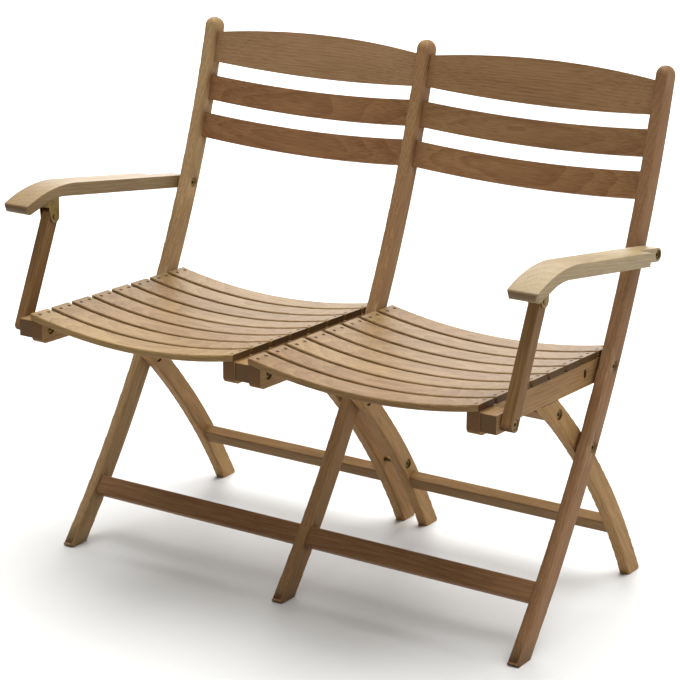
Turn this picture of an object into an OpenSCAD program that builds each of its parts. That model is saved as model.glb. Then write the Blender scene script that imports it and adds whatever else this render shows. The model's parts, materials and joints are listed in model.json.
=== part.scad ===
// Folding two-seat garden bench, in millimetres.
// X runs along the bench, Y from the front of the seat to the back, Z up from the floor.
// Side-view points are (distance behind the toe of the posts, height above the floor).

/* [Posts] */
// Thickness of a post, seen from the front
post_w = 21; // [18:1:28]
// Depth of a post, seen from the side
post_d = 35; // [30:1:45]
// Height of the rounded top of a post
post_h = 881.5; // [820:0.5:940]
// Radius of the curved front edge of a post
post_bend = 2252.7; // [2000:0.1:2600]
// Height of the centre of that curve
post_bend_z = 1492.2; // [1400:0.1:1600]
// How far that centre lies in front of the toe of the post
post_bend_y = 1717.7; // [1600:0.1:1900]
// Rounding along the long edges of posts and legs
post_ease = 3; // [1:0.5:5]
// Radius of the rounded top of a post, seen from the side
post_dome_r = 18.5; // [18:0.5:30]
// Radius of the rounded top of a post, seen from the front
post_crown_r = 14; // [12:0.5:30]
// Rounding of the toe of a post
toe_r = 4.5; // [2:0.5:8]
// Gap between a post and a piece that turns beside it
side_gap = 4; // [2:0.5:8]

/* [Seat] */
// Width of one seat panel
seat_w = 435; // [380:1:500]
// Top of the front edge at the ends of a slat
seat_h = 462.6; // [440:0.1:490]
// How far the front edge reaches in front of the toe of the posts
seat_reach = 100.5; // [80:0.5:130]
// Slope of the seat down to the back, in degrees
seat_tilt = 3.2; // [0:0.1:6]
// Depth of the dish in the middle of a slat
seat_dish = 23; // [10:0.5:35]
// Number of slats in a panel
slat_count = 8; // [8:1:8]
// Width of a seat slat
slat_w = 47; // [40:0.5:50]
// Distance from one slat to the next
slat_pitch = 54; // [52:0.5:56]
// Thickness of a seat slat
slat_t = 11; // [9:0.5:15]
// Rounding of the long edges of a seat slat
slat_ease = 2.5; // [1:0.5:4]
// Thickness of a seat rail
rail_t = 23; // [18:0.5:28]
// From the top of the seat's ends down to the underside of a rail
rail_drop = 51.5; // [45:0.5:58]
// How far the front slat stands out in front of the rails
rail_set = 3.5; // [0:0.5:8]
// Rounding of the lower corners of a rail
rail_r = 11; // [5:0.5:14]
// Place of the slot in the outer face of an outer rail, behind the toe of the posts
slot_y = 229; // [200:1:260]
// Depth of the middle of that slot below the seat's front edge
slot_drop = 47.6; // [40:0.1:50]
// Height of the slot
slot_h = 15; // [12:0.5:20]
// Width of the slot
slot_w = 8; // [5:0.5:10]
// Depth of the slot
slot_t = 7; // [3:0.5:12]
// Length of the blocks beside the rails, front to back
block_l = 44; // [36:1:50]
// Height of those blocks
block_h = 31; // [26:0.5:36]

/* [Rear legs] */
// Thickness of a rear leg
leg_t = 20; // [16:0.5:26]
// Depth of a rear leg, seen from the side
leg_d = 35; // [30:1:42]
// Radius of the curved front edge of a rear leg
leg_bend = 1276; // [1150:1:1400]
// How far the centre of that curve lies in front of the toe of the posts
leg_bend_y = 753; // [700:1:800]
// How far that centre lies below the floor
leg_bend_z = 559; // [520:1:600]
// Length of the cut that takes off the sharp rear corner of a foot
heel_cut = 6; // [3:0.5:7]
// Depth of the bolt in a leg top below the seat's front edge
top_bar_drop = 92.075; // [85:0.001:100]
// Gap between the top of a leg and the rail above it
leg_gap = 0.5; // [0.3:0.1:2]

/* [Stretchers] */
// Height of a front stretcher, along the post
front_bar_h = 35; // [28:1:42]
// Height of a rear stretcher, along the leg
rear_bar_h = 28; // [22:1:34]
// Thickness of the stretchers
bar_t = 20; // [16:0.5:24]
// How far a front stretcher is set back from the front of the posts
front_bar_set = 4.6; // [2:0.1:7]
// How far a rear stretcher is set back from the front of the legs
rear_bar_set = 4; // [2:0.5:7]
// Place of the front stretchers down the curve of the posts, in degrees
front_bar_at = 38.17; // [36:0.01:39]
// Place of the rear stretchers up the curve of the legs, in degrees
rear_bar_at = 31.02; // [29:0.01:33]
// Rounding along the edges of stretchers
bar_ease = 2; // [1:0.5:3]
// Length of a tenon
tenon_l = 9; // [6:0.5:9.5]
// Wood left round a tenon at its shoulder
shoulder = 4; // [3:0.5:4.5]

/* [Back] */
// Thickness of a back slat
back_t = 14; // [11:0.5:16]
// How far the ends of back slats are set back from the front of the posts
back_set = 16; // [12:0.5:16]
// How far the back slats bow back in the middle
back_bow = 12; // [6:0.5:18]
// Height of the top rail at its ends
top_rail_h = 55; // [48:1:62]
// How far the top edge of the top rail rises in the middle
top_rail_rise = 15.5; // [8:0.5:22]
// Height of the middle and lower slats
back_slat_h = 45.3; // [38:0.1:52]
// How far the middle of a back slat drops below its ends
back_sag = 7.6; // [3:0.1:12]
// Gap between neighbouring back slats
back_gap = 25; // [18:0.5:30]
// From the top of the posts down their curve to the centre of the top rail
top_rail_drop = 36.768; // [34:0.001:60]

/* [Arms] */
// Width of an arm
arm_w = 53.5; // [45:0.5:62]
// Thickness of the straight part of an arm
arm_t = 22.6; // [18:0.2:26]
// Slope of the straight part, in degrees
arm_slope = 9.9; // [6:0.1:12]
// Radius of the curve on top of the front of an arm
arm_top_r = 242; // [220:1:280]
// Where that curve begins, behind the toe of the posts
arm_top_from = 72; // [60:1:80]
// How much tighter the hollow curve below the front of an arm is than the curve on top
arm_under_less = 127; // [115:1:140]
// How much an arm bends down at the front on its underside, in degrees
arm_under_bend = 24.8; // [20:0.1:28]
// Where the hollow curve begins, behind the toe of the posts
arm_under_from = 36; // [30:1:44]
// Radius of the rounded tip of an arm
arm_tip_r = 8.5; // [6:0.5:9]
// Width of the tongue beside the post
tongue_w = 30.5; // [24:0.5:38]
// Length of the tongue from its shoulder to the pivot
tongue_l = 70; // [55:1:80]
// Gap between the post and the arm
arm_gap = 1; // [0.5:0.1:2]
// Thickness of a strut, seen from the front
strut_t = 20; // [16:0.5:24]
// Depth of a strut, seen from the side
strut_d = 24; // [20:0.5:28]
// Radius of the rounded ends of a strut
strut_end_r = 12.6; // [12.2:0.1:15]
// Gap between the block on the seat and the strut
strut_gap = 1; // [0.5:0.1:2]
// From the post's outer face to the strut
strut_out = 4.5; // [3.5:0.1:6]

/* [Brackets] */
// Thickness of the brass plate
plate_t = 2; // [1.5:0.1:3]
// Width of an ear where it meets the arm
ear_w = 26; // [22:0.5:30]
// Radius of an ear round its pin
ear_r = 11; // [9:0.5:13]
// Gap between an ear and the strut
ear_gap = 0.3; // [0.2:0.1:0.8]
// Radius of the pin
pin_r = 4; // [3:0.5:5]
// Free play round the pin in the strut
pin_play = 0.3; // [0.2:0.1:0.6]

/* [Pivots] */
// How far the seat pivot lies behind the middle of the post
seat_pivot_back = 2.7999; // [0:0.0001:5]
// Depth of the seat pivot below the seat's front edge
seat_pivot_drop = 46.6; // [40:0.1:50]
// How far the leg pivot lies behind the middle of the post
leg_pivot_back = 2.5951; // [0:0.0001:5]
// Leg pivot, height
leg_pivot_z = 297; // [290:0.5:305]
// How far the arm pivot lies behind the middle of the post
arm_pivot_back = 2.6876; // [0:0.0001:5]
// Height of the arm pivot above the seat's front edge
arm_pivot_up = 126.9; // [100:0.1:150]
// Strut's lower pivot, in front of the toe of the posts
strut_pivot_y = 75; // [60:0.5:90]
// Depth of the strut's lower pivot below the seat's front edge
strut_pivot_drop = 30.6; // [26:0.1:34]

/* [Fittings] */
// Radius of a bolt's shank
shank_r = 4; // [3:0.5:5]
// Radius of a bolt's head and of its nut
head_r = 7; // [6:0.5:8]
// Thickness of a head and of a nut
head_t = 3.5; // [2.5:0.5:5]
// Radius of the recess round a head
recess_r = 9; // [8.5:0.5:10]
// Depth of that recess
recess_t = 6; // [5:0.5:8]
// Width over the corners of the hexagon socket in a head
socket_w = 6.9; // [5:0.1:8]
// Depth of that socket
socket_t = 2.5; // [1.5:0.5:3]
// Play all round a shank in its hole
shank_play = 0.06; // [0.03:0.01:0.1]
// Play between a washer and the piece that turns beside it
washer_play = 0.05; // [0.02:0.01:0.2]
// Play all round a tenon and at its end
tenon_play = 0.2; // [0.1:0.05:0.4]

/* [Hidden] */

// Colours of the two materials
teak = [0.72, 0.57, 0.40];
brass = [0.72, 0.60, 0.34];

// Layout along the bench
panel_in = post_w / 2 + side_gap;
panel_out = panel_in + seat_w;
panel_mid = panel_in + seat_w / 2;
post_x = panel_out + side_gap + post_w / 2;
post_out = post_x + post_w / 2;
bay = post_x - post_w;
strut_x = post_out + strut_out;
arm_x = post_out + arm_gap;
reach = 2000;
// How far a cut runs on past a face
over = 1;
// How far a curved bar runs on past the cut at its end, in degrees
run_on = 1.5;

// Posts
post_back = post_bend + post_d;
post_mid = post_bend + post_d / 2;
post_top_at = asin((post_bend_z + post_d / 2 - post_h) / post_mid);
post_foot_at = asin(post_bend_z / post_bend) + run_on;
front_bar_r = post_bend + front_bar_set + bar_t / 2;
back_r = post_bend + back_set + back_t / 2;
top_rail_at = post_top_at + top_rail_drop / back_r * 180 / PI;

// How far behind the toe the middle of a post is at a height
function post_at(z) = -post_bend_y + sqrt(post_mid * post_mid - pow(z - post_bend_z, 2));

// Middle of the whole bench, from the front slat's lower edge to the back of the top rail
front_y = -seat_reach - slat_ease * (1 - cos(seat_tilt))
  - (seat_dish + slat_t - slat_ease) * sin(seat_tilt);
back_y = -post_bend_y + (back_r + back_t / 2 + back_bow) * cos(top_rail_at)
  + (top_rail_h / 2 + top_rail_rise) * sin(top_rail_at);
mid_y = (front_y + back_y) / 2;

// Seat and what hangs on it
seat_pivot_z = seat_h - seat_pivot_drop;
strut_pivot_z = seat_h - strut_pivot_drop;
arm_pivot_z = seat_h + arm_pivot_up;
seat_pivot_y = post_at(seat_pivot_z) + seat_pivot_back;
leg_pivot_y = post_at(leg_pivot_z) + leg_pivot_back;
arm_pivot_y = post_at(arm_pivot_z) + arm_pivot_back;
slot_z = seat_h - slot_drop;
dish_r = (pow(seat_w / 2, 2) + pow(seat_dish, 2)) / (2 * seat_dish);
dish_half = asin(seat_w / 2 / dish_r) + run_on;
seat_l = (slat_count - 1) * slat_pitch + slat_w;

// Legs
leg_back = leg_bend + leg_d;
leg_mid = leg_bend + leg_d / 2;
heel_at = asin(leg_bend_z / leg_back);
heel_y = -leg_bend_y + leg_back * cos(heel_at);
leg_foot_at = heel_at - run_on;
leg_top_at = asin((leg_bend_z + seat_h) / leg_bend);
// Where the bar across the leg tops sits on the curve of the legs
top_bar_at = asin((leg_bend_z + seat_h - top_bar_drop) / leg_mid);
rear_bar_r = leg_bend + rear_bar_set + bar_t / 2;
leg_bolt_y = -leg_bend_y + leg_mid * cos(top_bar_at);
leg_bolt_z = -leg_bend_z + leg_mid * sin(top_bar_at);
// How far a leg-top bolt reaches into the bar
screw_l = 30;
// Place of the bolt that ties the middle pair of legs
tie_at = 32.8;
tie_y = -leg_bend_y + leg_mid * cos(tie_at);
tie_z = -leg_bend_z + leg_mid * sin(tie_at);

// Arms: points on the curves of the top and of the underside
along = [cos(arm_slope), -sin(arm_slope)];
upward = [sin(arm_slope), cos(arm_slope)];
arm_pivot = [arm_pivot_y, arm_pivot_z];
arm_under_r = arm_top_r - arm_under_less;
arm_top_line = arm_pivot + upward * arm_t / 2;
arm_under_line = arm_pivot - upward * arm_t / 2;
top_start = arm_top_line + along * (arm_top_from - arm_top_line[0]) / along[0];
top_centre = top_start - upward * arm_top_r;
under_start = arm_under_line + along * (arm_under_from - arm_under_line[0]) / along[0];
under_centre = under_start - upward * arm_under_r;
under_angle = 90 - arm_slope + arm_under_bend;
nose_up = [cos(under_angle), sin(under_angle)];
nose_fwd = [-sin(under_angle), cos(under_angle)];
under_end = under_centre + nose_up * arm_under_r;
// The tip's circle touches the top curve and the underside
tip_base = under_end + nose_up * arm_tip_r - top_centre;
tip_b = tip_base * nose_fwd;
tip_c = tip_base * tip_base - pow(arm_top_r - arm_tip_r, 2);
tip_run = -tip_b + sqrt(tip_b * tip_b - tip_c);
tip_centre = under_end + nose_up * arm_tip_r + nose_fwd * tip_run;

// The pin stands over the strut's foot as the arm pivot stands over the seat pivot
pin_y = -strut_pivot_y + arm_pivot_y - seat_pivot_y;
pin_z = strut_pivot_z + arm_pivot_z - seat_pivot_z;
// Thickness of the pin's riveted ends and how far they stand out round it
pin_head_t = 1;
pin_head_out = 1.5;
// Depth of the recess for the bolt head in the foot of a strut, and the play round the head
strut_recess = 4.5;
head_play = 1;
// The bracket's plate is let in level at the top of the hollow curve
plate_in = 0.5;
plate_top = under_centre[1] + arm_under_r + plate_in;

// A rectangle with rounded corners, about its centre
module eased(w, h, r) {
  square([w - 2 * r, h], center = true);
  square([w, h - 2 * r], center = true);
  for (x = [-1, 1], y = [-1, 1])
    translate([x * (w / 2 - r), y * (h / 2 - r)]) circle(r, $fn = 16);
}

// Turns a side view, drawn as (back, up), to face along the bench
module stand() {
  translate([0, -mid_y, 0]) rotate([90, 0, 90]) children();
}

// A board of a given thickness from a side view
module board(x, t) {
  stand() translate([0, 0, x]) linear_extrude(t) children();
}

// A round bar along the bench
module rod(x, t, y, z, r) {
  board(x, t) translate([y, z]) circle(r, $fn = 64);
}

// A curved bar whose section is drawn as (radius, place along the bench)
module bent(y, z, from, to) {
  stand() translate([y, z, 0]) rotate([0, 0, from])
    rotate_extrude(angle = to - from, $fn = 360) children();
}

// Moves from a point on a curve, given by its centre, radius and angle, to its own axes
module on_curve(y, z, r, at) {
  translate([0, y - mid_y, z]) rotate([at, 0, 0]) translate([0, r, 0]) children();
}

// Seat axes: Y back along the seat's slope from its front edge, Z up from the slat ends
module on_seat(x) {
  translate([x, -seat_reach - mid_y, seat_h]) rotate([-seat_tilt, 0, 0]) children();
}

// Hole for a shank with a recess at one end; way is 1 or -1 for the side of the recess
module bolt_hole(x, t, y, z, way) {
  rod(x - over, t + 2 * over, y, z, shank_r + shank_play);
  rod(way > 0 ? x + t - recess_t : x - over, recess_t + over, y, z, recess_r);
}

// Bolt and nut from one outer face to the other, both sunk in their recesses
module bolt(x1, x2, y, z, drop1, drop2) {
  difference() {
    union() {
      rod(x1 + drop1 - head_t, head_t, y, z, head_r);
      rod(x1 + drop1 - over, x2 - x1 - drop1 - drop2 + over + head_t - socket_t, y, z, shank_r);
    }
    board(x1 + drop1 - head_t - over, socket_t + over) translate([y, z]) circle(socket_w / 2, $fn = 6);
  }
  difference() {
    rod(x2 - drop2, head_t, y, z, head_r);
    rod(x2 - drop2 - over, head_t + 2 * over - socket_t, y, z, shank_r + shank_play);
    board(x2 - drop2 + head_t - socket_t, socket_t + over) translate([y, z]) circle(socket_w / 2, $fn = 6);
  }
}

// Rounds the front lower corner of a post
module toe_cut(y, z, r, e) {
  cy = y + sqrt(pow(r + e, 2) - pow(z - e, 2));
  corner = y + sqrt(pow(r, 2) - pow(z, 2));
  k = r / (r + e);
  foot = [y + (cy - y) * k, z + (e - z) * k];
  board(-reach, 2 * reach) difference() {
    polygon([[cy, -over], [cy, e], foot, [corner + (foot[0] - corner) / 2 - e, foot[1] / 2 + e],
      [corner - 2 * e, -over]]);
    translate([cy, e]) circle(e, $fn = 64);
  }
}

// Tenon of a bar between the posts, and with play its mortise
module post_tenon(at, r, t, h, side, play) {
  on_curve(-post_bend_y, post_bend_z, r, -at)
    translate([side > 0 ? post_w / 2 - tenon_l - play : -post_w / 2 - shoulder, -t / 2, -h / 2])
      cube([tenon_l + play + shoulder, t, h]);
}

// Mortises in one side of a post; side is 1 for the side towards +X
module post_mortises(side) {
  play = tenon_play;
  post_tenon(front_bar_at, front_bar_r, bar_t - 2 * shoulder + 2 * play,
    front_bar_h - 2 * shoulder + 2 * play, side, play);
  for (i = [0:2])
    post_tenon(back_at(i), back_r, back_t - shoulder + 2 * play,
      back_h(i) - 2 * shoulder + 2 * play, side, play);
}

function back_h(i) = i == 0 ? top_rail_h : back_slat_h;
function back_at(i) = i == 0 ? top_rail_at
  : top_rail_at + (top_rail_h / 2 + back_slat_h / 2 + back_gap
    + (i - 1) * (back_slat_h + back_gap)) / back_r * 180 / PI;

// Rounds the top of a post, seen from the side and, more gently, from the front
module post_end_cut(x) {
  on_curve(-post_bend_y, post_bend_z, post_mid, -post_top_at) {
    translate([x, 0, 0]) rotate([90, 0, 90]) translate([0, 0, -post_w]) linear_extrude(2 * post_w)
      difference() {
        translate([-post_d, 0]) square([2 * post_d, 2 * post_d]);
        translate([0, post_d / 2 - post_dome_r]) circle(post_dome_r, $fn = 64);
      }
    translate([x, 0, 0]) rotate([90, 0, 0]) translate([0, 0, -post_d]) linear_extrude(2 * post_d)
      difference() {
        translate([-post_w, 0]) square([2 * post_w, 2 * post_d]);
        translate([0, post_d / 2 - post_crown_r]) circle(post_crown_r, $fn = 64);
      }
  }
}

module post(x, side) {
  color(teak) difference() {
    bent(-post_bend_y, post_bend_z, -post_foot_at, run_on - post_top_at)
      translate([post_mid, x]) eased(post_d, post_w, post_ease);
    post_end_cut(x);
    translate([-reach, -reach, -reach]) cube([2 * reach, 2 * reach, reach]);
    toe_cut(-post_bend_y, post_bend_z, post_bend, toe_r);
    for (s = side == 0 ? [-1, 1] : [-side]) translate([x, 0, 0]) post_mortises(s);
    if (side == 0) {
      rod(x - post_w, 2 * post_w, seat_pivot_y, seat_pivot_z, shank_r + shank_play);
      rod(x - post_w, 2 * post_w, leg_pivot_y, leg_pivot_z, shank_r + shank_play);
    } else {
      bolt_hole(x - post_w / 2, post_w, seat_pivot_y, seat_pivot_z, side);
      bolt_hole(x - post_w / 2, post_w, leg_pivot_y, leg_pivot_z, side);
      bolt_hole(x - post_w / 2, post_w, arm_pivot_y, arm_pivot_z, -side);
    }
  }
}

// Straight bar along the bench with a tenon at each end
module tenoned_bar(l, t, h) {
  translate([-l / 2, 0, 0]) rotate([90, 0, 90]) linear_extrude(l) eased(t, h, bar_ease);
  cube([l + 2 * tenon_l, t - 2 * shoulder, h - 2 * shoulder], center = true);
}

module front_stretcher(side) {
  color(teak) on_curve(-post_bend_y, post_bend_z, front_bar_r, -front_bar_at)
    translate([side * post_x / 2, 0, 0]) tenoned_bar(bay, bar_t, front_bar_h);
}

// Radius of an arc that rises by h over the half width a
function rise_r(a, h) = (a * a + h * h) / (2 * h);

// Face of a back slat, drawn as (along the bench, up the curve)
module back_face(h, rise) {
  a = bay / 2;
  sag_r = rise_r(a, back_sag);
  difference() {
    intersection() {
      translate([-a, -h]) square([bay, 2 * h + rise]);
      translate([0, -h / 2 - back_sag + sag_r]) circle(sag_r, $fn = 360);
      if (rise > 0) translate([0, h / 2 + rise - rise_r(a, rise)])
        circle(rise_r(a, rise), $fn = 360);
    }
    if (rise == 0) translate([0, h / 2 - back_sag + sag_r]) circle(sag_r, $fn = 360);
  }
}

// Back slat number i, counted down from the top rail
module back_slat(i, side) {
  bow_r = rise_r(bay / 2, back_bow);
  h = back_h(i);
  color(teak) on_curve(-post_bend_y, post_bend_z, back_r, -back_at(i))
    translate([side * post_x / 2, 0, 0]) {
      intersection() {
        translate([0, back_t / 2 + back_bow, 0]) rotate([90, 0, 0])
          linear_extrude(back_t + back_bow) back_face(h, i == 0 ? top_rail_rise : 0);
        translate([0, back_bow - bow_r, -h]) linear_extrude(2 * h + top_rail_rise)
          difference() {
            circle(bow_r + back_t / 2, $fn = 360);
            circle(bow_r - back_t / 2, $fn = 360);
          }
      }
      for (s = [-1, 1]) translate([s * (bay + tenon_l - shoulder) / 2, 0, 0])
        cube([tenon_l + shoulder, back_t - shoulder, h - 2 * shoulder], center = true);
    }
}

// Seat slat number i, counted from the front
module seat_slat(i, side) {
  color(teak) on_seat(side * panel_mid) intersection() {
    translate([0, (i - 1) * slat_pitch + slat_w / 2, dish_r - seat_dish])
      rotate([-90, 0, 0]) rotate([0, 0, 90 - dish_half])
        rotate_extrude(angle = 2 * dish_half, $fn = 360)
          translate([dish_r + slat_t / 2, 0]) eased(slat_t, slat_w, slat_ease);
    translate([0, (i - 1) * slat_pitch + slat_w / 2, -seat_dish - slat_t - over])
      linear_extrude(seat_dish + slat_t + 2 * over) eased(seat_w, slat_w + over, slat_ease);
  }
}

// Side view of a rail in the seat's axes, with its lower corners rounded
module rail_face() {
  l = seat_l - 2 * rail_set;
  translate([rail_set, -rail_drop + rail_r]) square([l, rail_drop]);
  translate([rail_set + rail_r, -rail_drop]) square([l - 2 * rail_r, rail_drop]);
  for (s = [rail_set + rail_r, rail_set + l - rail_r])
    translate([s, -rail_drop + rail_r]) circle(rail_r, $fn = 64);
}

// Seat rail from x to x + rail_t; its recesses open towards way
module seat_rail(x, side, way) {
  color(teak) difference() {
    on_seat(0) translate([x, 0, 0]) rotate([90, 0, 90]) linear_extrude(rail_t) rail_face();
    on_seat(side * panel_mid) translate([0, -over, dish_r - seat_dish]) rotate([-90, 0, 0])
      cylinder(r = dish_r + slat_t, h = seat_l + 2 * over, $fn = 360);
    bolt_hole(x, rail_t, seat_pivot_y, seat_pivot_z, way);
    bolt_hole(x, rail_t, -strut_pivot_y, strut_pivot_z, way);
    if (way != side) board(way > 0 ? x - over : x + rail_t - slot_t, slot_t + over)
      translate([slot_y, slot_z]) rotate([0, 0, -seat_tilt]) {
        square([slot_w, slot_h - slot_w], center = true);
        for (s = [-1, 1]) translate([0, s * (slot_h - slot_w) / 2]) circle(slot_w / 2, $fn = 64);
      }
  }
}

// Block beside the rails at the front, bored for its bolt
module seat_block(x, t) {
  color(teak) difference() {
    translate([0, -strut_pivot_y - mid_y, strut_pivot_z]) rotate([-seat_tilt, 0, 0])
      translate([x, 0, 0]) rotate([90, 0, 90]) linear_extrude(t) eased(block_l, block_h, bar_ease);
    rod(x - over, t + 2 * over, -strut_pivot_y, strut_pivot_z, shank_r + shank_play);
  }
}

// Mortise for the rear stretcher in the inner face of a leg
module leg_tenon(x, at, h, play) {
  on_curve(-leg_bend_y, -leg_bend_z, rear_bar_r, at)
    translate([x - tenon_l - play, -bar_t / 2 + shoulder - play, -h / 2 - play])
      cube([2 * (tenon_l + play), bar_t - 2 * shoulder + 2 * play, h + 2 * play]);
}

// Rear leg from x to x + leg_t; way points to the post beside it
module rear_leg(x, way) {
  inner = way > 0 ? x : x + leg_t;
  color(teak) difference() {
    bent(-leg_bend_y, -leg_bend_z, leg_foot_at, leg_top_at)
      translate([leg_mid, x + leg_t / 2]) eased(leg_d, leg_t, post_ease);
    translate([-reach, -reach, -reach]) cube([2 * reach, 2 * reach, reach]);
    board(-reach, 2 * reach) translate([heel_y, 0]) polygon([[-heel_cut, -over], [-heel_cut, 0],
      heel_cut * [-sin(heel_at), cos(heel_at)], heel_cut * [1, cos(heel_at)], [heel_cut, -over]]);
    on_seat(0) translate([-reach, -reach, -rail_drop - leg_gap]) cube([2 * reach, 2 * reach, reach]);
    leg_tenon(inner, rear_bar_at, rear_bar_h - 2 * shoulder, tenon_play);
    bolt_hole(x, leg_t, leg_pivot_y, leg_pivot_z, -way);
    bolt_hole(x, leg_t, leg_bolt_y, leg_bolt_z, way);
    if (abs(x) < panel_mid) bolt_hole(x, leg_t, tie_y, tie_z, -way);
  }
}

module rear_stretcher(side) {
  color(teak) on_curve(-leg_bend_y, -leg_bend_z, rear_bar_r, rear_bar_at)
    translate([side * panel_mid, 0, 0]) tenoned_bar(seat_w - 2 * leg_t, bar_t, rear_bar_h);
}

// Bar between the tops of a pair of legs, bored at each end for its bolt
module leg_top_bar(side) {
  l = seat_w - 2 * leg_t;
  color(teak) difference() {
    on_curve(-leg_bend_y, -leg_bend_z, leg_mid, top_bar_at)
      translate([side * panel_mid - l / 2, 0, 0]) rotate([90, 0, 90])
        linear_extrude(l) eased(bar_t, rear_bar_h, bar_ease);
    for (e = [-1, 1]) rod(side * panel_mid + e * l / 2 - screw_l, 2 * screw_l,
      leg_bolt_y, leg_bolt_z, shank_r + shank_play);
  }
}

// Side view of an arm
module arm_face() {
  far = arm_pivot_y + reach;
  under_back = under_start + along * reach;
  under_front = under_end + nose_fwd * reach;
  top_touch = top_centre + (tip_centre - top_centre) * arm_top_r / (arm_top_r - arm_tip_r);
  under_touch = tip_centre - nose_up * arm_tip_r;
  intersection() {
    difference() {
      union() {
        translate(top_centre) circle(arm_top_r, $fn = 360);
        polygon([top_start, top_centre, [arm_pivot_y, 0], arm_pivot, arm_top_line]);
      }
      translate(under_centre) circle(arm_under_r, $fn = 360);
      polygon([under_front, under_end, under_start, under_back, [far, -reach], [-far, -reach]]);
    }
    polygon([top_touch + nose_up * arm_t, top_touch, tip_centre, under_touch,
      under_touch - nose_up * arm_t, [arm_pivot_y, 0], arm_pivot, arm_pivot + upward * reach]);
  }
  translate(tip_centre) circle(arm_tip_r, $fn = 96);
  translate(arm_pivot) circle(arm_t / 2, $fn = 96);
}

module arm(side) {
  color(teak) mirror([side < 0 ? 1 : 0, 0, 0]) difference() {
    translate([arm_x, 0, 0]) difference() {
      board(0, arm_w) arm_face();
      board(tongue_w, arm_w) translate(arm_pivot) rotate([0, 0, -arm_slope])
        translate([-tongue_l, -2 * arm_t]) square([2 * tongue_l, 4 * arm_t]);
    }
    bolt_hole(arm_x, tongue_w, arm_pivot_y, arm_pivot_z, 1);
    board(strut_x - plate_t - 2 * ear_gap, strut_t + 2 * plate_t + 4 * ear_gap)
      translate([pin_y - ear_w / 2 - ear_gap, 0]) square([ear_w + 2 * ear_gap, plate_top]);
  }
}

module strut(side) {
  l = norm([arm_pivot_y - seat_pivot_y, arm_pivot_z - seat_pivot_z]);
  lean = atan2(arm_pivot_z - seat_pivot_z, arm_pivot_y - seat_pivot_y);
  color(teak) mirror([side < 0 ? 1 : 0, 0, 0]) difference() {
    intersection() {
      stand() translate([-strut_pivot_y, strut_pivot_z, strut_x + strut_t / 2])
        rotate([0, 0, lean]) rotate([0, 90, 0]) rotate([0, 0, 90])
          translate([0, 0, -strut_d]) linear_extrude(l + 2 * strut_d) eased(strut_d, strut_t, bar_ease);
      board(strut_x - over, strut_t + 2 * over) translate([-strut_pivot_y, strut_pivot_z]) rotate([0, 0, lean]) {
        translate([0, -strut_d]) square([l, 2 * strut_d]);
        circle(strut_end_r, $fn = 96);
        translate([l, 0]) circle(strut_end_r, $fn = 96);
      }
    }
    rod(strut_x - over, strut_t + 2 * over, -strut_pivot_y, strut_pivot_z, shank_r + shank_play);
    rod(strut_x + strut_t - strut_recess, recess_t, -strut_pivot_y, strut_pivot_z, head_r + head_play);
    rod(strut_x - over, strut_t + 2 * over, pin_y, pin_z, pin_r + pin_play);
  }
}

module bracket(side) {
  x = strut_x - ear_gap - plate_t;
  w = strut_t + 2 * (ear_gap + plate_t);
  color(brass) mirror([side < 0 ? 1 : 0, 0, 0]) difference() {
    board(x, w) {
      polygon([[pin_y - ear_w / 2, plate_top], [pin_y - ear_r, pin_z],
        [pin_y + ear_r, pin_z], [pin_y + ear_w / 2, plate_top]]);
      translate([pin_y, pin_z]) circle(ear_r, $fn = 96);
    }
    board(x + plate_t, w - 2 * plate_t) translate([pin_y - ear_w, pin_z - 2 * ear_r])
      square([2 * ear_w, plate_top - plate_t - pin_z + 2 * ear_r]);
    rod(x - over, w + 2 * over, pin_y, pin_z, pin_r + shank_play);
  }
}

module bracket_pin(side) {
  x = strut_x - ear_gap - plate_t;
  w = strut_t + 2 * (ear_gap + plate_t);
  color(brass) mirror([side < 0 ? 1 : 0, 0, 0]) {
    rod(x - pin_head_t, w + 2 * pin_head_t, pin_y, pin_z, pin_r);
    for (e = [x - pin_head_t, x + w]) rod(e, pin_head_t, pin_y, pin_z, pin_r + pin_head_out);
  }
}

module seat_pivot_bolts() {
  color(brass) {
    bolt(-panel_in - rail_t, panel_in + rail_t, seat_pivot_y, seat_pivot_z, recess_t, recess_t);
    for (s = [0, 1]) mirror([s, 0, 0])
      bolt(panel_out - rail_t, post_out, seat_pivot_y, seat_pivot_z, recess_t, recess_t);
  }
}

module leg_pivot_bolts() {
  color(brass) {
    bolt(-panel_in - leg_t, panel_in + leg_t, leg_pivot_y, leg_pivot_z, recess_t, recess_t);
    for (s = [0, 1]) mirror([s, 0, 0])
      bolt(panel_out - leg_t, post_out, leg_pivot_y, leg_pivot_z, recess_t, recess_t);
  }
}

// One washer in every gap between a post and a rail or a leg, held against the post
module pivot_washers() {
  color(brass) for (s = [0, 1]) mirror([s, 0, 0])
    for (x = [post_w / 2, panel_out + washer_play])
      for (p = [[seat_pivot_y, seat_pivot_z], [leg_pivot_y, leg_pivot_z]])
        difference() {
          rod(x, side_gap - washer_play, p[0], p[1], recess_r);
          rod(x - over, side_gap + 2 * over, p[0], p[1], shank_r + shank_play);
        }
}

module arm_bolts() {
  color(brass) for (s = [0, 1]) mirror([s, 0, 0])
    bolt(post_out - post_w, arm_x + tongue_w, arm_pivot_y, arm_pivot_z, recess_t, recess_t);
}

// Bolts through the blocks: one at each strut and one between the two seats
module block_bolts() {
  color(brass) {
    bolt(-panel_in - rail_t, panel_in + rail_t, -strut_pivot_y, strut_pivot_z, recess_t, recess_t);
    for (s = [0, 1]) mirror([s, 0, 0])
      bolt(panel_out - rail_t, strut_x + strut_t, -strut_pivot_y, strut_pivot_z, recess_t, strut_recess);
  }
}

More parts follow.
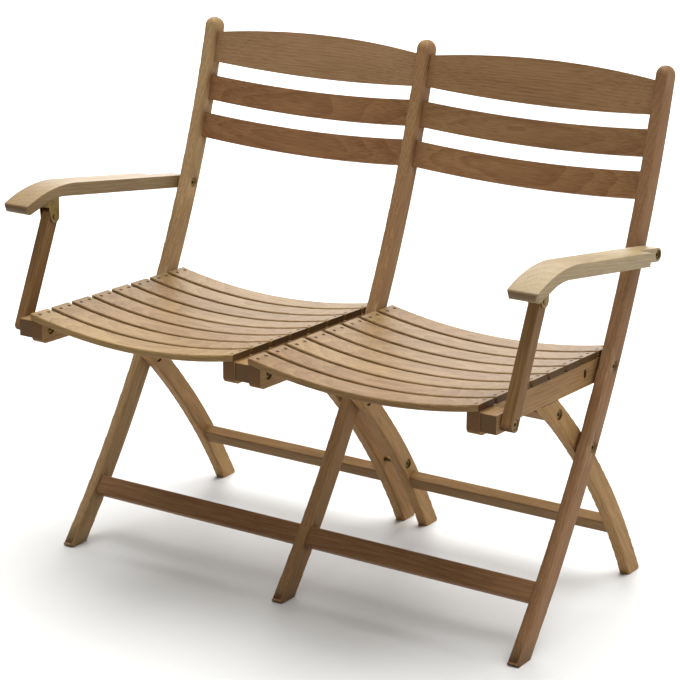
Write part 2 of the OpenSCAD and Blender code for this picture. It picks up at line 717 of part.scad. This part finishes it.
// Bolts from the faces of the legs into the ends of the bars between them
module leg_top_bolts() {
  color(brass) for (s = [0, 1]) mirror([s, 0, 0])
    for (e = [0, 1]) translate([panel_mid, 0, 0]) mirror([e, 0, 0]) {
      x = seat_w / 2 - recess_t;
      difference() {
        union() {
          rod(x, head_t, leg_bolt_y, leg_bolt_z, head_r);
          rod(x - leg_t + recess_t - screw_l + over, leg_t - recess_t + screw_l, leg_bolt_y, leg_bolt_z, shank_r);
        }
        board(x + head_t - socket_t, socket_t + over) translate([leg_bolt_y, leg_bolt_z])
          circle(socket_w / 2, $fn = 6);
      }
    }
}

module leg_tie_bolt() {
  color(brass) bolt(-panel_in - leg_t, panel_in + leg_t, tie_y, tie_z, recess_t, recess_t);
}

post(-post_x, -1);  // post_left
post(0, 0);  // post_middle
post(post_x, 1);  // post_right
front_stretcher(-1);  // front_stretcher_left
front_stretcher(1);  // front_stretcher_right
back_slat(0, -1);  // back_top_rail_left
back_slat(0, 1);  // back_top_rail_right
back_slat(1, -1);  // back_slat_upper_left
back_slat(1, 1);  // back_slat_upper_right
back_slat(2, -1);  // back_slat_lower_left
back_slat(2, 1);  // back_slat_lower_right
seat_rail(-panel_out, -1, 1);  // seat_rail_left_outer
seat_rail(-panel_in - rail_t, -1, -1);  // seat_rail_left_inner
seat_rail(panel_in, 1, 1);  // seat_rail_right_inner
seat_rail(panel_out - rail_t, 1, -1);  // seat_rail_right_outer
for (i = [1:slat_count]) {
  seat_slat(i, -1);
  seat_slat(i, 1);
}
seat_block(-strut_x + strut_gap, strut_x - strut_gap - panel_out);  // seat_block_left
seat_block(-panel_in, 2 * panel_in);  // seat_block_middle
seat_block(panel_out, strut_x - strut_gap - panel_out);  // seat_block_right
rear_leg(-panel_out, -1);  // rear_leg_left_outer
rear_leg(-panel_in - leg_t, 1);  // rear_leg_left_inner
rear_leg(panel_in, -1);  // rear_leg_right_inner
rear_leg(panel_out - leg_t, 1);  // rear_leg_right_outer
rear_stretcher(-1);  // rear_stretcher_left
rear_stretcher(1);  // rear_stretcher_right
leg_top_bar(-1);  // leg_top_bar_left
leg_top_bar(1);  // leg_top_bar_right
arm(-1);  // arm_left
arm(1);  // arm_right
strut(-1);  // arm_strut_left
strut(1);  // arm_strut_right
bracket(-1);  // arm_bracket_left
bracket(1);  // arm_bracket_right
bracket_pin(-1);  // bracket_pin_left
bracket_pin(1);  // bracket_pin_right
seat_pivot_bolts();
leg_pivot_bolts();
pivot_washers();
arm_bolts();
block_bolts();
leg_top_bolts();
leg_tie_bolt();
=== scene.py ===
# %% [markdown]
# A folding two-seat garden bench, dressed for a picture.
# The shapes come ready made from the CAD model. This lesson loads them, gives each board its own piece of teak
# and each fitting its brass, adds the small screws, and sets up the camera and the light.

# %% Load the model
import json
import math
import random

import bmesh
import bpy
from mathutils import Matrix, Vector

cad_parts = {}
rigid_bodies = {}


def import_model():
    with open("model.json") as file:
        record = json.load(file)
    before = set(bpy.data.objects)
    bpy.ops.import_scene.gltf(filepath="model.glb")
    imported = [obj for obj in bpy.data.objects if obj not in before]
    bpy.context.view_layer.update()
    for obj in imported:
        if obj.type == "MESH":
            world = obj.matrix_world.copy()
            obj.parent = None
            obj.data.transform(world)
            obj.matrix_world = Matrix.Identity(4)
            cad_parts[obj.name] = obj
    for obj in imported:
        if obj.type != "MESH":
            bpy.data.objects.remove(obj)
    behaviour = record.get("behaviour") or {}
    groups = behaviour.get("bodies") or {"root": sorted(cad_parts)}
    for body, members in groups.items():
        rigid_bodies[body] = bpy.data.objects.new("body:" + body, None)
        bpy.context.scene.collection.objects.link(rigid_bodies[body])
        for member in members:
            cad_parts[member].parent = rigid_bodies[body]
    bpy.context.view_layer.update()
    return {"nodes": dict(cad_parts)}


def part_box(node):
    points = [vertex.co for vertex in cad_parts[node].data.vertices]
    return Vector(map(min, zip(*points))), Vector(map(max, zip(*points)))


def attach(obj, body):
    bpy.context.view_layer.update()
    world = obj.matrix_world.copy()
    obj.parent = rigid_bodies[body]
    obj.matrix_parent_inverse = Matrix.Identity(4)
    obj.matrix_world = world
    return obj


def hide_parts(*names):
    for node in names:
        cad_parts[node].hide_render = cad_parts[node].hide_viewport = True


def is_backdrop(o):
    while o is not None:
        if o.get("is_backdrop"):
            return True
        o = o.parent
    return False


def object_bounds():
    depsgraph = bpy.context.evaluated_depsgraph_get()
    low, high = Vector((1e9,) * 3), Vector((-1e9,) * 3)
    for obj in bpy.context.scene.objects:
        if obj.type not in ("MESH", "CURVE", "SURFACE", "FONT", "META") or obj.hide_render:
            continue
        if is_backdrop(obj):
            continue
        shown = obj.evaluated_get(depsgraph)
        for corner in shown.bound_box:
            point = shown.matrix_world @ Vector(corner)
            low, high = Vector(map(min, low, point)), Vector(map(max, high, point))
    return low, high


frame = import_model()

# %% [markdown]
# The camera. Its place and lens were worked out from the photograph, by matching the long straight edges and the
# repeated parts of the bench. The lens is long, so the perspective is gentle.

# %% Camera
MM = 0.001
MID_Y = 193.576


def at(x, y, z):
    """A point given in millimetres behind the toe of the posts, in the frame of the model."""
    return Vector((x * MM, (y - MID_Y) * MM, z * MM))


right = Vector((0.8228930634, 0.5677773690, -0.0218143423))
down = Vector((0.1590813309, -0.2670773111, -0.9504540179))
ahead = Vector((-0.5454723975, 0.7786517636, -0.3100988462))

camera = bpy.data.objects.new("camera", bpy.data.cameras.new("camera"))
bpy.context.scene.collection.objects.link(camera)
camera.data.lens = 127.06
camera.data.sensor_width = 36
camera.data.clip_end = 50
camera.matrix_world = Matrix.Translation(at(2235.76, -3010.71, 1682.46)) @ Matrix(
    (right, -down, -ahead)).transposed().to_4x4()
bpy.context.scene.camera = camera
print("camera at", [round(v, 3) for v in camera.location])

# %% [markdown]
# Light. In the photograph tops are pale with a soft sheen, sides that face right are in between, and fronts and
# undersides are dark. So one very wide and soft lamp hangs above and a little behind, a second stands to the right,
# and a low one behind the bench skims over the tops, which gives them their sheen. The first is a sun with a wide
# disc, because it lights the floor evenly out to the edges of the picture. The surround only lifts the shadows, and
# where the camera looks past the edge of the floor, it sees plain white.

# %% Lamps
LIFT = 0.14


def lamp(name, place, target, size, watts, colour):
    """A round soft lamp at place that points at target."""
    data = bpy.data.lights.new(name, "AREA")
    data.shape, data.size, data.energy, data.color = "DISK", size, watts, colour
    obj = bpy.data.objects.new(name, data)
    bpy.context.scene.collection.objects.link(obj)
    obj.location = place
    obj.rotation_euler = (Vector(target) - Vector(place)).to_track_quat("-Z", "Y").to_euler()
    print(name, watts, "W")


overhead = bpy.data.lights.new("overhead", "SUN")
overhead.energy, overhead.angle, overhead.color = 6.0, math.radians(68), (1.0, 1.0, 0.99)
overhead_lamp = bpy.data.objects.new("overhead", overhead)
bpy.context.scene.collection.objects.link(overhead_lamp)
overhead_lamp.rotation_euler = (math.radians(-14), math.radians(2), 0)
lamp("from_right", (3.3, 1.9, 1.9), (0.0, 0.0, 0.4), 2.2, 10, (1.0, 1.0, 0.98))
lamp("skimming", (-3.4, 5.7, 2.8), (0.0, 0.0, 0.5), 4.2, 270, (1.0, 1.0, 1.0))

world = bpy.data.worlds.new("studio")
bpy.context.scene.world = world
world.use_nodes = True
surround = world.node_tree.nodes["Background"]
surround.inputs["Color"].default_value = (1.0, 1.0, 1.0, 1.0)
surround.inputs["Strength"].default_value = LIFT
backdrop = world.node_tree.nodes.new("ShaderNodeBackground")
backdrop.inputs["Color"].default_value = (1.0, 1.0, 1.0, 1.0)
sight = world.node_tree.nodes.new("ShaderNodeLightPath")
choice = world.node_tree.nodes.new("ShaderNodeMixShader")
world.node_tree.links.new(sight.outputs["Is Camera Ray"], choice.inputs["Fac"])
world.node_tree.links.new(surround.outputs[0], choice.inputs[1])
world.node_tree.links.new(backdrop.outputs[0], choice.inputs[2])
world.node_tree.links.new(choice.outputs[0], world.node_tree.nodes["World Output"].inputs["Surface"])
bpy.context.scene.view_settings.view_transform = "Standard"
print("surround", LIFT)

# %% [markdown]
# Nodes. A material is a small net of nodes. One function adds a node, sets its values and links its inputs, so
# that every material below reads as a short list of steps. Colours are written as sRGB hex values, as a paint
# chart gives them, and one function turns them into the linear values that the renderer works with.

# %% Helpers for materials


def linear(code):
    """sRGB hex to linear colour."""
    parts = [int(code[i:i + 2], 16) / 255 for i in (1, 3, 5)]
    return tuple(c / 12.92 if c <= 0.04045 else ((c + 0.055) / 1.055) ** 2.4 for c in parts) + (1.0,)


def add(tree, kind, settings=(), links=(), **values):
    """Adds a node; settings are its properties, values its inputs, links its inputs fed by other sockets."""
    node = tree.nodes.new(kind)
    for key, value in dict(settings).items():
        setattr(node, key, value)
    for key, value in values.items():
        node.inputs[key.replace("_", " ")].default_value = value
    for key, socket in dict(links).items():
        tree.links.new(socket, node.inputs[key])
    return node


def new_material(name):
    mat = bpy.data.materials.new(name)
    mat.use_nodes = True
    mat.node_tree.nodes.clear()
    return mat


def shade(tree, colour, rough, bump=None, metallic=0.0, specular=0.5):
    """Ends a material in a Principled shader."""
    shader = add(tree, "ShaderNodeBsdfPrincipled", Metallic=metallic)
    shader.inputs["Specular IOR Level"].default_value = specular
    for key, value in (("Base Color", colour), ("Roughness", rough)):
        if isinstance(value, bpy.types.NodeSocket):
            tree.links.new(value, shader.inputs[key])
        else:
            shader.inputs[key].default_value = value
    if bump is not None:
        tree.links.new(bump, shader.inputs["Normal"])
    add(tree, "ShaderNodeOutputMaterial", links={"Surface": shader.outputs[0]})


# %% [markdown]
# Teak. Real teak is golden brown, with growth rings a few millimetres apart, fine dark pores that run with the
# grain, and a dull oiled surface. The rings are tubes round the heart of the trunk. Where a board's face lies flat
# to the tubes they show as arches, and where it cuts across them they show as stripes. So the pattern here is a
# set of rings round a heart line that is placed beside each board, drawn out along the board and bent by noise.
# The ends of a board are darker than its faces: partly because they soak up more oil, and partly as painted shade.

# %% Teak
RING = 5.5
PORE = 1.3
SMOOTH, DULL = 0.44, 0.62
END_GRAIN_SHADE_TINT = (0.7, 0.67, 0.62, 1.0)


def teak(name, along, heart, seed, light, dark, specular):
    """Oiled teak whose grain runs in the direction along, round a heart line through the point heart."""
    pick = random.Random(seed)
    mat = new_material(name)
    tree = mat.node_tree
    place = add(tree, "ShaderNodeTexCoord")
    along = Vector(along).normalized()
    turn = along.rotation_difference(Vector((1, 0, 0))).to_euler()
    shifted = add(tree, "ShaderNodeVectorMath", {"operation": "SUBTRACT"}, {0: place.outputs["Object"]})
    shifted.inputs[1].default_value = heart
    cut = add(tree, "ShaderNodeMapping", links={"Vector": shifted.outputs[0]}, Rotation=tuple(turn))
    drift = add(tree, "ShaderNodeMapping", links={"Vector": cut.outputs[0]}, Scale=(0.2, 1.0, 1.0),
                Location=(pick.uniform(-9, 9), pick.uniform(-9, 9), 0))
    sway = add(tree, "ShaderNodeTexNoise", links={"Vector": drift.outputs[0]}, Scale=10.0, Detail=2.0)
    push = add(tree, "ShaderNodeVectorMath", {"operation": "SCALE"}, {0: sway.outputs["Color"]}, Scale=0.034)
    flat = add(tree, "ShaderNodeMapping", links={"Vector": cut.outputs[0]}, Scale=(0.02, 1.0, 1.0))
    bent = add(tree, "ShaderNodeVectorMath", {"operation": "ADD"}, {0: flat.outputs[0], 1: push.outputs[0]})
    rings = add(tree, "ShaderNodeTexWave",
                {"wave_type": "RINGS", "rings_direction": "X", "wave_profile": "SAW"},
                {"Vector": bent.outputs[0]}, Scale=2 * math.pi / 20 / (RING * MM),
                Distortion=0.7, Detail=2.0, Detail_Scale=1.4, Detail_Roughness=0.5)
    streaks = add(tree, "ShaderNodeMapping", links={"Vector": cut.outputs[0]}, Scale=(0.03, 1.0, 1.0))
    pores = add(tree, "ShaderNodeTexNoise", links={"Vector": streaks.outputs[0]},
                Scale=1 / (PORE * MM), Detail=2.0, Roughness=0.6)
    patches = add(tree, "ShaderNodeTexNoise", links={"Vector": drift.outputs[0]}, Scale=24.0, Detail=3.0)
    ring_tone = add(tree, "ShaderNodeMapRange", links={"Value": rings.outputs["Fac"]}, To_Min=0.14, To_Max=0.46)
    pore_tone = add(tree, "ShaderNodeMapRange", links={"Value": pores.outputs["Fac"]},
                    From_Min=0.35, From_Max=0.75, To_Min=-0.2, To_Max=0.5)
    patch_tone = add(tree, "ShaderNodeMapRange", links={"Value": patches.outputs["Fac"]},
                     From_Min=0.3, From_Max=0.7, To_Min=-0.15, To_Max=0.17)
    both = add(tree, "ShaderNodeMath", {"operation": "ADD"}, {0: ring_tone.outputs[0], 1: pore_tone.outputs[0]})
    face_tone = add(tree, "ShaderNodeMath", {"operation": "ADD"}, {0: both.outputs[0], 1: patch_tone.outputs[0]})
    facing = add(tree, "ShaderNodeVectorMath", {"operation": "DOT_PRODUCT"}, {0: place.outputs["Normal"]})
    facing.inputs[1].default_value = along
    square = add(tree, "ShaderNodeMath", {"operation": "ABSOLUTE"}, {0: facing.outputs["Value"]})
    # End faces get the dark tone and a further dark tint: partly end grain that soaks up oil, partly painted shade.
    end_grain_and_shade = add(tree, "ShaderNodeMapRange", links={"Value": square.outputs[0]},
                    From_Min=0.6, From_Max=0.95, To_Min=0.0, To_Max=1.0)
    tone = add(tree, "ShaderNodeMath", {"operation": "ADD", "use_clamp": True},
               {0: face_tone.outputs[0], 1: end_grain_and_shade.outputs[0]})
    colour = add(tree, "ShaderNodeMix", {"data_type": "RGBA"}, {"Factor": tone.outputs[0]})
    colour.inputs[6].default_value = linear(light)
    colour.inputs[7].default_value = linear(dark)
    ends = add(tree, "ShaderNodeMix", {"data_type": "RGBA", "blend_type": "MULTIPLY"},
               {"Factor": end_grain_and_shade.outputs[0], 6: colour.outputs[2]})
    ends.inputs[7].default_value = END_GRAIN_SHADE_TINT
    gloss = add(tree, "ShaderNodeMapRange", links={"Value": pores.outputs["Fac"]},
                To_Min=SMOOTH, To_Max=DULL)
    soft = add(tree, "ShaderNodeBevel", {"samples": 4}, Radius=1.6 * MM)
    bump = add(tree, "ShaderNodeBump", links={"Height": pores.outputs["Fac"], "Normal": soft.outputs[0]},
               Strength=0.12, Distance=0.4 * MM)
    shade(tree, ends.outputs[2], gloss.outputs[0], bump.outputs[0], specular=specular)
    return mat


# %% [markdown]
# Which way each board's grain runs, and how it was sawn. Slats and stretchers run along the bench, rails and arms
# from front to back, posts and legs up their own lean. Seat slats and the two lower back slats are flat sawn, with
# the heart below or behind the face, so they show arches. Top rails, posts and rails are cut the other way, and
# show stripes. Each board comes from its own plank, so the tones differ: the back slats are redder, the legs and
# arms paler. Each tone is a pair, the light wood and the dark lines in it. Hands have polished the arms, so these
# shine more than the dry wood of the rest.

# %% Teak for every board
LEAN = {"post": (0.0, 0.52, 0.85), "rear_leg": (0.0, -0.6, 0.8), "arm_strut": (0.0, 0.436, 0.9),
        "arm_left": (0.0, 0.985, -0.17), "arm_right": (0.0, 0.985, -0.17), "seat_rail": (0.0, 1.0, -0.056),
        "seat_block": (0.0, 1.0, -0.056)}
HEART = {"seat_slat": (0.0, 0.01, -0.07), "back_slat": (0.0, 0.08, -0.01), "back_top": (0.0, 0.02, -0.16),
         "post": (0.05, 0.09, -0.05), "arm_": (0.012, 0.0, -0.06), "rear_leg": (0.07, 0.05, 0.02)}
MIDDLE = ("#987550", "#704E32")
RED = ("#9A724D", "#6D472E")
TONES = {
    "post_left": (("#AE9168", "#816243"),),
    "post_middle": (("#9F7D57", "#755437"),),
    "post_right": (("#916F4E", "#6B4A31"),),
    "back_top_rail_left": (("#A68561", "#805E3F"),),
    "back_top_rail_right": (("#9D7B56", "#745236"),),
    "back_slat_upper_left": (RED,),
    "back_slat_lower": (RED, ("#9E7751", "#724D31")),
    "seat_slat": (("#8D734C", "#64492A"), ("#8A6F4A", "#604427"), ("#92784D", "#684D2E"), ("#876B46", "#5D4226")),
    "seat_rail": (("#A07F54", "#765535"),),
    "seat_block": (("#957750", "#6D5236"),),
    "rear_leg": (("#AA8758", "#7E5B38"),),
    "rear_stretcher": (("#8F7049", "#694A2C"),),
    "front_stretcher": (("#98734F", "#6C4A32"),),
    "arm_left": (("#907851", "#6E5433"),),
    "arm_right": (("#9E8B66", "#796143"),),
    "arm_strut": (("#856640", "#5D3F25"),),
}
POLISH = {"arm_left": 0.4, "arm_right": 0.4}
DRY = 0.12


def first_match(node, table, other):
    """The table's entry whose key begins the node's name; the longest key wins."""
    keys = [k for k in table if node.startswith(k)]
    return table[max(keys, key=len)] if keys else other


BRASS_NAMES = ("bolt", "washer", "bracket", "pin")
boards = sorted(n for n in frame["nodes"] if not any(word in n for word in BRASS_NAMES))
fittings = sorted(n for n in frame["nodes"] if n not in boards)


def cover(obj, mat):
    """Gives every face of a piece one material."""
    obj.data.materials.clear()
    obj.data.materials.append(mat)


for number, node in enumerate(boards):
    low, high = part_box(node)
    middle = (Vector(low) + Vector(high)) / 2
    pick = random.Random(number)
    heart = middle + Vector(first_match(node, HEART, (0.03, 0.05, -0.08))) * pick.uniform(0.8, 1.3)
    tones = first_match(node, TONES, (MIDDLE,))
    light, dark = tones[pick.randrange(len(tones))]
    cover(bpy.data.objects[node], teak("oiled_teak_" + node, first_match(node, LEAN, (1.0, 0.0, 0.0)),
                                       heart, number + 11, light, dark, first_match(node, POLISH, DRY)))
print("boards:", len(boards), "fittings:", len(fittings))

# %% [markdown]
# Brass. The bolts and brackets are plain brass that has gone dull out of doors: a yellow metal with a soft sheen
# and darker patches of tarnish. Both tones are darker than clean brass, partly for tarnish and partly as painted
# shade.

# %% Brass


def tarnished_and_shaded_brass(name):
    mat = new_material(name)
    tree = mat.node_tree
    place = add(tree, "ShaderNodeTexCoord")
    tarnish = add(tree, "ShaderNodeTexNoise", links={"Vector": place.outputs["Object"]},
                  Scale=1 / (6 * MM), Detail=4.0)
    colour = add(tree, "ShaderNodeMix", {"data_type": "RGBA"}, {"Factor": tarnish.outputs["Fac"]})
    # Both brass tones are darkened: part tarnish, part painted shade.
    colour.inputs[6].default_value = linear("#8F7846")
    colour.inputs[7].default_value = linear("#4E3D22")
    rough = add(tree, "ShaderNodeMapRange", links={"Value": tarnish.outputs["Fac"]}, To_Min=0.28, To_Max=0.5)
    shade(tree, colour.outputs[2], rough.outputs[0], metallic=1.0)
    return mat


brass = tarnished_and_shaded_brass("tarnished_and_shaded_brass")
for node in fittings:
    cover(bpy.data.objects[node], brass)

# %% [markdown]
# Arms. The real arms have edges rounded over by a router, about 4 mm. The solid from the CAD has crisp edges, so a
# copy of it gets a bevel, and stands in for it. The bevel only takes material off, so the size stays the same.
# The two corners of the nose are rounder still, so they are first cut off in small steps round a circle.

# %% Rounded arms
ARM_EDGE = 4.0
EDGE_STEPS = 5
CORNER = math.radians(50)
SHARP = math.radians(35)
FLAT = math.radians(1.2)
JOIN = 0.02 * MM
ON_PLANE = 0.001 * MM
NOSE_ROUND = 8.0
NOSE_UP = 631.0
NOSE_SLOPE = math.radians(20)
nose = Vector((0, math.cos(NOSE_SLOPE), math.sin(NOSE_SLOPE)))


def joined_copy(node):
    """A copy of a node's mesh whose loose triangles are joined."""
    shape = bmesh.new()
    shape.from_mesh(bpy.data.objects[node].data)
    bmesh.ops.remove_doubles(shape, verts=shape.verts, dist=JOIN)
    return shape


def stand_in(shape, node):
    """Makes an object of a reshaped copy, with the node's material and smooth faces."""
    source = bpy.data.objects[node]
    mesh = bpy.data.meshes.new(node + "_rounded")
    shape.to_mesh(mesh)
    shape.free()
    mesh.materials.append(source.data.materials[0])
    for face in mesh.polygons:
        face.use_smooth = True
        face.material_index = 0
    mesh.set_sharp_from_angle(angle=SHARP)
    obj = bpy.data.objects.new(node + "_rounded", mesh)
    bpy.context.scene.collection.objects.link(obj)
    return obj


def hand_over(obj, node, body):
    """Puts the reshaped piece in the place of its node, on the same body."""
    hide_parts(node)
    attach(obj, body)
    print(obj.name, "faces:", len(obj.data.polygons))


for side in ("left", "right"):
    node = "arm_" + side
    shape = joined_copy(node)
    bmesh.ops.dissolve_limit(shape, angle_limit=FLAT, verts=shape.verts, edges=shape.edges)
    low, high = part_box(node)
    for edge_x, outward in ((low.x, -1), (high.x, 1)):
        for angle in range(15, 90, 15):
            turn = math.radians(angle)
            normal = Vector((outward * math.cos(turn), 0, 0)) - nose * math.sin(turn)
            centre = Vector((edge_x - outward * NOSE_ROUND * MM, low.y, 0)) + nose * NOSE_ROUND * MM / nose.y
            centre.z = NOSE_UP * MM
            cut = bmesh.ops.bisect_plane(shape, geom=shape.verts[:] + shape.edges[:] + shape.faces[:],
                                         dist=ON_PLANE, plane_co=centre + normal * NOSE_ROUND * MM,
                                         plane_no=normal, clear_outer=True)
            bmesh.ops.edgeloop_fill(shape, edges=[e for e in cut["geom_cut"] if isinstance(e, bmesh.types.BMEdge)])
    print(node, "open edges:", sum(e.is_boundary for e in shape.edges))
    arm = stand_in(shape, node)
    edge = arm.modifiers.new("edge", "BEVEL")
    edge.width, edge.segments, edge.limit_method = ARM_EDGE * MM, EDGE_STEPS, "ANGLE"
    edge.angle_limit = CORNER
    done = bpy.data.meshes.new_from_object(arm.evaluated_get(bpy.context.evaluated_depsgraph_get()))
    arm.modifiers.clear()
    arm.data = done
    done.set_sharp_from_angle(angle=SHARP)
    hand_over(arm, node, node)

# %% [markdown]
# Post tops. The real posts end in a soft dome, sanded round in every direction. The CAD rounds them once from the
# side and once from the front, which leaves ridges where the two roundings meet. So the last 17 mm of a copy are
# cut off, and the rim of the cut is drawn up and in, ring by ring, along a quarter of a rounded curve.

# %% Domed post tops
POST_LEAN = math.radians(16.064)
POST_BEND = (-1717.7, 1492.2)
POST_MIDDLE = 2270.2
POST_TOP = at(0, POST_BEND[0] + POST_MIDDLE * math.cos(POST_LEAN), POST_BEND[1] - POST_MIDDLE * math.sin(POST_LEAN))
TOP_ABOVE = 17.5
DOME = 17.0
RINGS = 10
LAST_TURN = math.radians(87)
FULLNESS = 0.92

up_post = Vector((0, math.sin(POST_LEAN), math.cos(POST_LEAN)))
for node in ("post_left", "post_middle", "post_right"):
    low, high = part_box(node)
    middle = POST_TOP + Vector(((low.x + high.x) / 2, 0, 0))
    rim_at = middle + up_post * (TOP_ABOVE - DOME) * MM
    shape = joined_copy(node)
    bmesh.ops.bisect_plane(shape, geom=shape.verts[:] + shape.edges[:] + shape.faces[:], dist=ON_PLANE,
                           plane_co=rim_at, plane_no=up_post, clear_outer=True)
    rim = [e for e in shape.edges if e.is_boundary]
    started = {v.co.copy().freeze(): v.co - rim_at for e in rim for v in e.verts}
    for ring in range(1, RINGS + 1):
        turn = LAST_TURN * ring / RINGS
        grown = bmesh.ops.extrude_edge_only(shape, edges=rim)["geom"]
        rim = [g for g in grown if isinstance(g, bmesh.types.BMEdge) and g.is_boundary]
        moved = {}
        for v in {v for e in rim for v in e.verts}:
            start = started[min(started, key=lambda old: (old - v.co).length_squared)]
            v.co = rim_at + start * math.cos(turn) ** FULLNESS + up_post * (DOME * MM * math.sin(turn))
            moved[v.co.copy().freeze()] = start
        started = moved
    bmesh.ops.edgeloop_fill(shape, edges=rim)
    bmesh.ops.recalc_face_normals(shape, faces=shape.faces)
    print(node, "open edges:", sum(e.is_boundary for e in shape.edges))
    hand_over(stand_in(shape, node), node, "frame")

# %% [markdown]
# Screws. Two small screws hold each end of a seat slat to its rail, sunk into the wood, 64 in all. First comes
# where they sit: each slat is bent to one large circle, so a place along it also gives the way its top faces.

# %% Slat screws
SEAT_TILT = math.radians(3.2)
DISH_R = 1039.90
DISH = 23.0
PITCH = 54.0
SLATS = 8
SCREW_ALONG = (13.0, 35.0)
SCREW_ACROSS = 206.0


def on_slat(side, slat, across, along):
    """Place and outward direction on top of a slat, across from the middle of its panel, along from its edge."""
    lift = DISH_R - DISH - math.sqrt(DISH_R ** 2 - across ** 2)
    s = slat * PITCH + along
    cos_t, sin_t = math.cos(SEAT_TILT), math.sin(SEAT_TILT)
    place = at(side * 232.0 + across, -100.5 + s * cos_t + lift * sin_t, 462.6 - s * sin_t + lift * cos_t)
    lean = math.asin(across / DISH_R)
    normal = Vector((-math.sin(lean), math.cos(lean) * sin_t, math.cos(lean) * cos_t))
    return place, normal


spots = [on_slat(side, slat, across, along)
         for side in (-1, 1) for slat in range(SLATS)
         for across in (-SCREW_ACROSS, SCREW_ACROSS) for along in SCREW_ALONG]
points = bpy.data.meshes.new("screw_points")
points.from_pydata([place for place, normal in spots], [], [])
facing = points.attributes.new("facing", "FLOAT_VECTOR", "POINT")
for number, (place, normal) in enumerate(spots):
    facing.data[number].vector = normal
screws = bpy.data.objects.new("slat_screws", points)
bpy.context.scene.collection.objects.link(screws)
print("screws:", len(spots))

# %% [markdown]
# Geometry Nodes repeat the screw. The tree reads the points and the way each one faces. On every point it puts a
# flat head, painted dark as painted shade, over a flat dark disc of painted shadow where the sunk hole would be. It
# makes the copies real and gives them their materials. Sizes are inputs of the tree.

# %% Painted shade of a sunk screw


def dull_speck(name, light, dark):
    """A small dull part: one tone clouded by another."""
    mat = new_material(name)
    tree = mat.node_tree
    place = add(tree, "ShaderNodeTexCoord")
    grit = add(tree, "ShaderNodeTexNoise", links={"Vector": place.outputs["Object"]}, Scale=1 / (1.5 * MM))
    colour = add(tree, "ShaderNodeMix", {"data_type": "RGBA"}, {"Factor": grit.outputs["Fac"]})
    colour.inputs[6].default_value = linear(light)
    colour.inputs[7].default_value = linear(dark)
    shade(tree, colour.outputs[2], 0.8, specular=0.05)
    return mat


# Painted shade: the heads are dark brown as if shaded in their holes, and a flat dark disc stands in for the shadow
# in each countersink.
screw_steel = dull_speck("screw_head_painted_shade", "#5A442C", "#33261A")
hole_painted_shadow = dull_speck("shadowed_countersink", "#3B2A1B", "#22180F")

# %% Tree that sets the screws


def screw_tree():
    """Points in; on each a head over a disc of painted shadow for its countersink, out."""
    tree = bpy.data.node_groups.new("sunk_screws", "GeometryNodeTree")
    sockets = {}
    for name, kind in (("Points", "NodeSocketGeometry"), ("Head radius", "NodeSocketFloat"),
                       ("Hole radius", "NodeSocketFloat"), ("Head height", "NodeSocketFloat")):
        sockets[name] = tree.interface.new_socket(name, in_out="INPUT", socket_type=kind).identifier
    tree.interface.new_socket("Screws", in_out="OUTPUT", socket_type="NodeSocketGeometry")
    start = add(tree, "NodeGroupInput")
    facing = add(tree, "GeometryNodeInputNamedAttribute", {"data_type": "FLOAT_VECTOR"}, Name="facing")
    turn = add(tree, "FunctionNodeAlignRotationToVector", {"axis": "Z"}, {"Vector": facing.outputs[0]})
    dressed = []
    for radius, sides, mat in (("Head radius", 16, screw_steel), ("Hole radius", 24, hole_painted_shadow)):
        disc = add(tree, "GeometryNodeMeshCylinder", links={"Radius": start.outputs[radius],
                                                            "Depth": start.outputs["Head height"]}, Vertices=sides)
        shape = disc.outputs["Mesh"]
        if radius == "Head radius":
            lift = add(tree, "ShaderNodeCombineXYZ", Z=0.12 * MM)
            shape = add(tree, "GeometryNodeTransform", links={"Geometry": shape,
                                                              "Translation": lift.outputs[0]}).outputs[0]
        placed = add(tree, "GeometryNodeInstanceOnPoints",
                     links={"Points": start.outputs["Points"], "Instance": shape, "Rotation": turn.outputs[0]})
        real = add(tree, "GeometryNodeRealizeInstances", links={"Geometry": placed.outputs[0]})
        dressed.append(add(tree, "GeometryNodeSetMaterial", links={"Geometry": real.outputs[0]}, Material=mat))
    both = add(tree, "GeometryNodeJoinGeometry")
    for part in dressed:
        tree.links.new(part.outputs[0], both.inputs[0])
    add(tree, "NodeGroupOutput", links={0: both.outputs[0]})
    return tree, sockets


tree, sockets = screw_tree()
grow = screws.modifiers.new("grow", "NODES")
grow.node_group = tree
for name, size in (("Head radius", 2.1), ("Hole radius", 3.2), ("Head height", 0.3)):
    grow[sockets[name]] = size * MM
done = bpy.data.meshes.new_from_object(screws.evaluated_get(bpy.context.evaluated_depsgraph_get()))
screws.modifiers.clear()
screws.data = done
for empty in [i for i, mat in enumerate(done.materials) if mat is None][::-1]:
    done.materials.pop(index=empty)
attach(screws, "seat")
print("screw faces:", len(done.polygons), "materials:", [m.name for m in done.materials])

# %% [markdown]
# Floor. A plain pale sheet, so bright that the edge of the floor melts into the background.

# %% Floor
floor_mesh = bpy.data.meshes.new("floor")
floor_mesh.from_pydata([(-30, -30, 0), (30, -30, 0), (30, 30, 0), (-30, 30, 0)], [], [(0, 1, 2, 3)])
floor = bpy.data.objects.new("floor", floor_mesh)
bpy.context.scene.collection.objects.link(floor)
paper = new_material("white_paper")
shade(paper.node_tree, linear("#CBCBCA"), 0.9)
cover(floor, paper)
floor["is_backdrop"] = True

low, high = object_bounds()
print("visual box:", [round(v, 4) for v in high - low])
